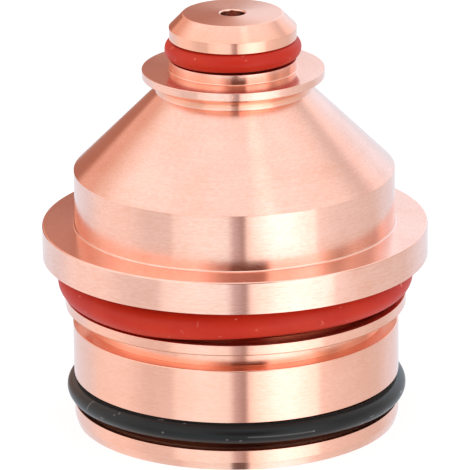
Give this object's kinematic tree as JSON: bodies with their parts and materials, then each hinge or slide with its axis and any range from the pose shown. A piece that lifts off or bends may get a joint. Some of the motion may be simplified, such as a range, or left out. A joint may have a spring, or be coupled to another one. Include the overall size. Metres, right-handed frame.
{
  "type": "plasma torch nozzle",
  "caption": "Turned copper nozzle of a liquid-cooled plasma torch: flanged skirt, long cone, thin collar and fine orifice, sealed outside by O-rings.",
  "frame": {"origin": "centre of the bottom rim", "axes": "+Z along the nozzle's axis, from the rim to the tip; the body and its rings are round about Z"},
  "size_m": [0.0352, 0.0352, 0.0384],
  "materials": {
    "copper": "fine turned, bright satin",
    "red_silicone": "moulded, satin",
    "black_rubber": "moulded, satin"
  },
  "bodies": {
    "root": {"nozzle_body": "copper", "tip_o_ring": "red_silicone", "flange_o_ring": "red_silicone", "skirt_o_ring": "black_rubber"}
  },
  "joints": []
}
